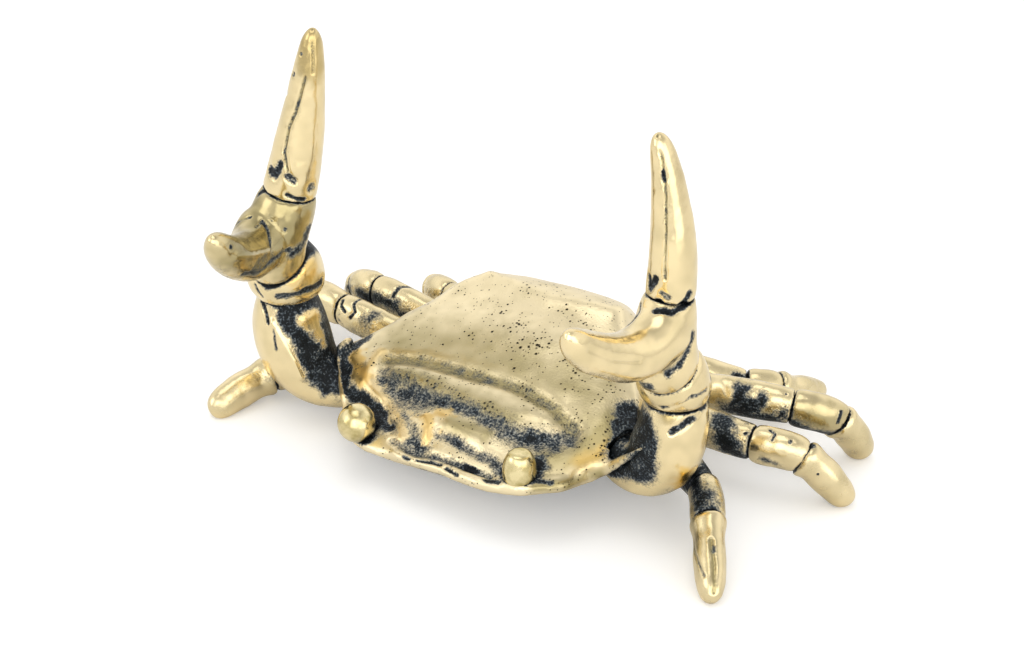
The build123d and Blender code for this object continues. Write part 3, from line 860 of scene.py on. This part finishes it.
def makeEyes():
    for nodeName in ("left_eye", "right_eye"):
        eye = eyes[nodeName]
        low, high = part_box(nodeName)
        middle = Vector(((low.x + high.x) / 2, (low.y + high.y) / 2, high.z - eye["ball"] * mm))
        bpy.ops.object.select_all(action="DESELECT")
        bpy.ops.mesh.primitive_uv_sphere_add(segments=eyes["segments"], ring_count=eyes["rings"],
                                             radius=eye["ball"] * mm, location=middle)
        piece = bpy.context.active_object
        piece.name = nodeName + "_ball"
        bpy.ops.object.mode_set(mode="EDIT")
        bpy.ops.mesh.select_all(action="SELECT")
        bpy.ops.transform.resize(value=(1, 1, eye["stretch"]))
        bpy.ops.transform.translate(value=Vector(eye["shift"]) * mm)
        bpy.ops.object.mode_set(mode="OBJECT")
        if eye["barrel"]:
            applyModifier(piece, "CAST", cast_type="CYLINDER", factor=eye["barrel"])
        bpy.ops.object.transform_apply(location=True, rotation=True, scale=True)
        addLumps(piece, eyes)
        workPiece(piece, {}, {})
        finishPiece(piece, nodeName, brassBuffed)
    print("eyes made")


# Crust collects where metal stands close in front of a surface: solid cells are counted in a box
# just off each point, at two sizes
recess = {
    "cell": 0.2,
    "depths": (0.1, 0.3, 0.5, 0.7),
    "near": 0.5,
    "far": 1.5,
    "open": 0.05,  # share of solid cells that an open surface may have
    "nearGain": 3.0,
    "farGain": 1.4,
    "uneven": 1.1,
    "unevenSize": 1.6,
    "under": 0.45,  # on faces that look down
    "underFrom": 0.2,
    "margin": 3.0,
}


def boxMean(grid, half):
    for axis in range(3):
        padding = [(0, 0)] * 3
        padding[axis] = (half + 1, half)
        total = np.cumsum(np.pad(grid, padding), axis=axis)
        width = 2 * half + 1
        ahead = np.take(total, range(width, total.shape[axis]), axis=axis)
        behind = np.take(total, range(0, total.shape[axis] - width), axis=axis)
        grid = (ahead - behind) / width
    return grid


def coatRecesses():
    points = {name: readPoints(piece) for name, (piece, _) in castings.items()}
    cell = recess["cell"] * mm
    margin = recess["margin"] * mm
    low = np.min([places.min(0) for places, _ in points.values()], axis=0) - margin
    high = np.max([places.max(0) for places, _ in points.values()], axis=0) + margin
    solid = np.zeros(np.ceil((high - low) / cell).astype(int) + 1, np.float32)
    for places, normals in points.values():
        for depth in recess["depths"]:
            solid[tuple(((places - normals * depth * mm - low) / cell).astype(int).T)] = 1
    crowd = {}
    for size in ("near", "far"):
        half = round(recess[size] / recess["cell"])
        mean = boxMean(solid, half)
        for name, (places, normals) in points.items():
            offPoint = places + normals * (recess[size] + recess["cell"] / 2) * mm
            crowd[name, size] = mean[tuple(((offPoint - low) / cell).astype(int).T)]
    for name, (piece, coat) in castings.items():
        places, normals = points[name]
        near, far = (np.clip(crowd[name, size] - recess["open"], 0, 1) for size in ("near", "far"))
        crust = near * recess["nearGain"] + far * recess["farGain"]
        patch = recess["unevenSize"] * mm
        uneven = 1 + recess["uneven"] * np.array([noise.noise(Vector(p) / patch) for p in places])
        downward = np.clip(-normals[:, 2] - recess["underFrom"], 0, 1)
        crust = crust * uneven + recess["under"] * downward
        coat["patina"] = np.clip(np.maximum(coat["patina"], 0) + crust, 0, 1)
        for coatName in coatNames:
            layer = piece.data.attributes.new(coatName, "FLOAT", "POINT")
            layer.data.foreach_set("value", coat[coatName].astype(np.float32))
    print("crust laid in the recesses")


# Studio: pale floor, soft boxes, white surroundings. The metal mirrors a band of bright wall over a
# dimmer horizon and a dim ceiling
studio = {
    "floor": "#F4F4F4",
    "floorRough": 0.9,
    "floorSize": 3.0,
    "floorLift": 0.2,  # for the camera alone
    "surround": 0.84,
    "brightest": 1.2,  # of the wall that the metal mirrors
    "heights": ((0.0, 0.66), (0.3, 1.0), (0.65, 0.95), (0.95, 0.5)),  # sine of the height, share of it
    "boxes": {
        "topBox": {"at": (-0.05, -0.05, 0.5), "size": 0.3, "power": 0.35},
        "leftBox": {"at": (-0.35, -0.35, 0.25), "size": 0.25, "power": 0.25},
        "rightBox": {"at": (0.30, -0.16, 0.12), "size": 0.26, "power": 0.23},
        "floorBox": {"at": (0.07, -0.22, 0.13), "size": 0.18, "power": 0.13},
    },
}


def buildStudio():
    bpy.ops.object.select_all(action="DESELECT")
    bpy.ops.mesh.primitive_plane_add(size=studio["floorSize"])
    floor = bpy.context.active_object
    floor.name = "studioFloor"
    material = bpy.data.materials.new("mattPaper")  # matt white paper, no gloss
    material.use_nodes = True
    tree = material.node_tree
    shader = tree.nodes["Principled BSDF"]
    shader.inputs["Base Color"].default_value = linear(studio["floor"])
    shader.inputs["Roughness"].default_value = studio["floorRough"]
    shader.inputs["Emission Color"].default_value = (1, 1, 1, 1)
    rays = addNode(tree, "LightPath", {})
    lift = addNode(tree, "Math", {0: rays.outputs["Is Camera Ray"], 1: studio["floorLift"]},
                   operation="MULTIPLY").outputs[0]
    tree.links.new(lift, shader.inputs["Emission Strength"])
    floor.data.materials.append(material)

    for name, box in studio["boxes"].items():
        bpy.ops.object.light_add(type="AREA", location=box["at"])
        lamp = bpy.context.active_object
        lamp.name = name
        lamp.data.shape = "SQUARE"
        lamp.data.size = box["size"]
        lamp.data.energy = box["power"]
        away = Vector(box["at"]) - Vector(shot["lookAt"])
        lamp.rotation_euler = away.to_track_quat("Z", "Y").to_euler()

    world = bpy.data.worlds.new("whiteStudio")
    world.use_nodes = True
    bpy.context.scene.world = world
    tree = world.node_tree
    sky = tree.nodes["Background"]
    sky.inputs["Color"].default_value = (1, 1, 1, 1)
    way = addNode(tree, "TexCoord", {}).outputs["Generated"]
    up = addNode(tree, "SeparateXYZ", {"Vector": way}).outputs["Z"]
    ramp = addNode(tree, "ValToRGB", {"Fac": up})
    for height, _ in studio["heights"][1:-1]:
        ramp.color_ramp.elements.new(height)
    for stop, (height, share) in zip(ramp.color_ramp.elements, studio["heights"]):
        stop.position = height
        stop.color = (share, share, share, 1)
    wall = addNode(tree, "Math", {0: ramp.outputs["Color"], 1: studio["brightest"]},
                   operation="MULTIPLY").outputs[0]
    rays = addNode(tree, "LightPath", {}).outputs
    shown = addNode(tree, "Mix", {0: rays["Is Glossy Ray"], 2: studio["surround"], 3: wall}).outputs[0]
    shown = addNode(tree, "Mix", {0: rays["Is Camera Ray"], 2: shown, 3: 1.0}).outputs[0]
    tree.links.new(shown, sky.inputs["Strength"])
    bpy.context.scene.view_settings.view_transform = "Standard"
    print("studio lit")


addCamera()
castCarapace()
castBelly()
castClaws()
castLegs()
makeEyes()
coatRecesses()
buildStudio()
